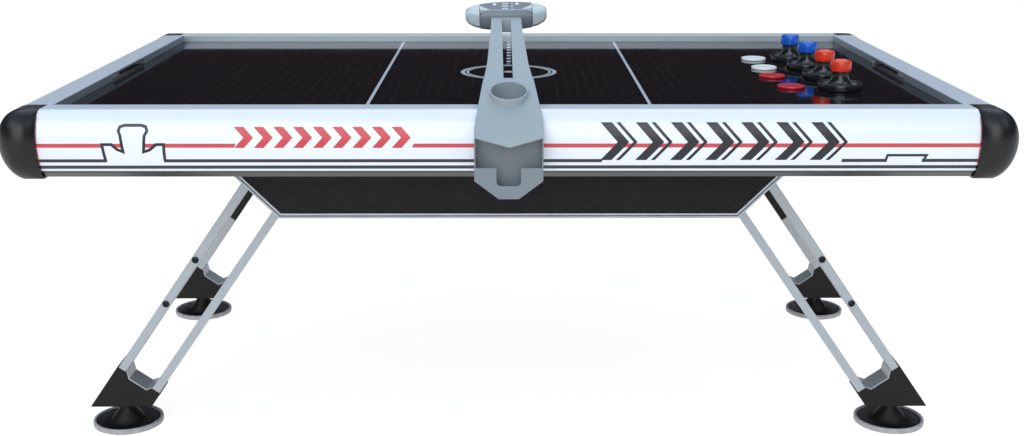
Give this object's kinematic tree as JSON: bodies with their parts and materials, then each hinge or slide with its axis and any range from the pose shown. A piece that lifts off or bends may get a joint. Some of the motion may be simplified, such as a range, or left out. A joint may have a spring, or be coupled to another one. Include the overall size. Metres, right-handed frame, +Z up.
{
  "type": "air hockey table",
  "caption": "Air hockey table with rounded rails, black corner caps, splayed twin-tube legs, a blower under the field, a rail-mounted scoring arm, strikers and pucks.",
  "frame": {"origin": "centre of the whole table's footprint, on the floor", "axes": "+X along the table's length, -Y towards the side with the scorer, +Z up"},
  "size_m": [2.164, 1.444, 0.9977],
  "materials": {
    "white_rail": "satin white laminate with printed stripes",
    "corner_cap": "satin black moulded plastic",
    "field": "high-gloss black drilled board with printed lines",
    "aluminium": "satin extrusion",
    "raw_board": "plain fibreboard",
    "black_board": "black laminated board",
    "black_plastic": "moulded",
    "black_steel": "black powder coat",
    "leg_tube": "silver powder coat",
    "foot": "black moulded foot with a pale rim",
    "scorer_grey": "silver-grey moulded plastic",
    "scorer_dark": "dark grey moulded plastic",
    "window_pale": "pale translucent lens",
    "button": "white",
    "puck_red": "red",
    "puck_white": "white",
    "mallet": "black with a coloured cap",
    "motor": "black painted motor can",
    "fan_plastic": "black moulded plastic"
  },
  "bodies": {
    "table": {"playfield": "field", "air_chamber": "raw_board", "inner_rail_front": "aluminium", "inner_rail_rear": "aluminium", "inner_rail_left": "aluminium", "inner_rail_right": "aluminium", "apron_front": "white_rail", "apron_rear": "white_rail", "apron_left": "white_rail", "apron_right": "white_rail", "corner_cap_front_left": "corner_cap", "corner_cap_front_right": "corner_cap", "corner_cap_rear_left": "corner_cap", "corner_cap_rear_right": "corner_cap", "goal_box_left": "black_plastic", "goal_box_right": "black_plastic", "cabinet_trim_front": "aluminium", "cabinet_trim_rear": "aluminium", "cabinet_panel_front": "black_board", "cabinet_panel_rear": "black_board", "cabinet_floor": "black_board", "power_inlet": "fan_plastic", "leg_mount_left": "black_steel", "leg_mount_right": "black_steel", "leg_outer_tube_front_left": "leg_tube", "leg_inner_tube_front_left": "leg_tube", "foot_bracket_front_left": "black_steel", "leg_outer_tube_front_right": "leg_tube", "leg_inner_tube_front_right": "leg_tube", "foot_bracket_front_right": "black_steel", "leg_outer_tube_rear_left": "leg_tube", "leg_inner_tube_rear_left": "leg_tube", "foot_bracket_rear_left": "black_steel", "leg_outer_tube_rear_right": "leg_tube", "leg_inner_tube_rear_right": "leg_tube", "foot_bracket_rear_right": "black_steel", "fan_housing": "fan_plastic", "fan_motor": "motor", "scorer_arm": "scorer_grey", "scorer_bin": "scorer_grey", "scorer_head": "scorer_grey", "scorer_cover": "scorer_dark", "scorer_window_left": "window_pale", "scorer_window_right": "window_pale"},
    "fan_wheel": {"fan_impeller": "fan_plastic"},
    "power_rocker": {"power_switch": "fan_plastic"},
    "score_button_left": {"scorer_button_left": "button"},
    "score_button_right": {"scorer_button_right": "button"},
    "levelling_foot_front_left": {"foot_front_left": "foot"},
    "levelling_foot_front_right": {"foot_front_right": "foot"},
    "levelling_foot_rear_left": {"foot_rear_left": "foot"},
    "levelling_foot_rear_right": {"foot_rear_right": "foot"},
    "striker_1": {"mallet_1": "mallet"},
    "disc_1": {"puck_1": "puck_red"},
    "striker_2": {"mallet_2": "mallet"},
    "disc_2": {"puck_2": "puck_red"},
    "striker_3": {"mallet_3": "mallet"},
    "disc_3": {"puck_3": "puck_white"},
    "striker_4": {"mallet_4": "mallet"},
    "disc_4": {"puck_4": "puck_white"}
  },
  "joints": [
    {"name": "fan_spin", "type": "hinge", "parent": "table", "child": "fan_wheel", "pos_m": [0, 0.019, 0.597], "axis": [0, 0, 1], "continuous": true},
    {"name": "power_rock", "type": "hinge", "parent": "table", "child": "power_rocker", "pos_m": [-0.25, 0.479, 0.605], "axis": [1, 0, 0], "range_deg": [-10, 0]},
    {"name": "score_button_left_press", "type": "slide", "parent": "table", "child": "score_button_left", "axis": [0.022, 0.3423, -0.9393], "range_m": [0, 0.0012], "stiffness_N_per_m": 300, "springref_m": -0.001},
    {"name": "score_button_right_press", "type": "slide", "parent": "table", "child": "score_button_right", "axis": [0.022, 0.3423, -0.9393], "range_m": [0, 0.0012], "stiffness_N_per_m": 300, "springref_m": -0.001},
    {"name": "levelling_foot_front_left_turn", "type": "hinge", "parent": "table", "child": "levelling_foot_front_left", "pos_m": [-0.925, -0.396, 0], "axis": [0, 0, 1], "continuous": true},
    {"name": "levelling_foot_front_right_turn", "type": "hinge", "parent": "table", "child": "levelling_foot_front_right", "pos_m": [0.925, -0.396, 0], "axis": [0, 0, 1], "continuous": true},
    {"name": "levelling_foot_rear_left_turn", "type": "hinge", "parent": "table", "child": "levelling_foot_rear_left", "pos_m": [-0.925, 0.434, 0], "axis": [0, 0, 1], "continuous": true},
    {"name": "levelling_foot_rear_right_turn", "type": "hinge", "parent": "table", "child": "levelling_foot_rear_right", "pos_m": [0.925, 0.434, 0], "axis": [0, 0, 1], "continuous": true},
    {"name": "striker_1_lift", "type": "slide", "parent": "table", "child": "striker_1", "axis": [0, 0, 1], "range_m": [0, 0.3]},
    {"name": "striker_2_lift", "type": "slide", "parent": "table", "child": "striker_2", "axis": [0, 0, 1], "range_m": [0, 0.3]},
    {"name": "striker_3_lift", "type": "slide", "parent": "table", "child": "striker_3", "axis": [0, 0, 1], "range_m": [0, 0.3]},
    {"name": "striker_4_lift", "type": "slide", "parent": "table", "child": "striker_4", "axis": [0, 0, 1], "range_m": [0, 0.3]},
    {"name": "disc_1_glide", "type": "slide", "parent": "table", "child": "disc_1", "axis": [-1, 0, 0], "range_m": [0, 1.58]},
    {"name": "disc_2_glide", "type": "slide", "parent": "table", "child": "disc_2", "axis": [-1, 0, 0], "range_m": [0, 1.58]},
    {"name": "disc_3_glide", "type": "slide", "parent": "table", "child": "disc_3", "axis": [-1, 0, 0], "range_m": [0, 1.58]},
    {"name": "disc_4_glide", "type": "slide", "parent": "table", "child": "disc_4", "axis": [-1, 0, 0], "range_m": [0, 1.58]}
  ]
}
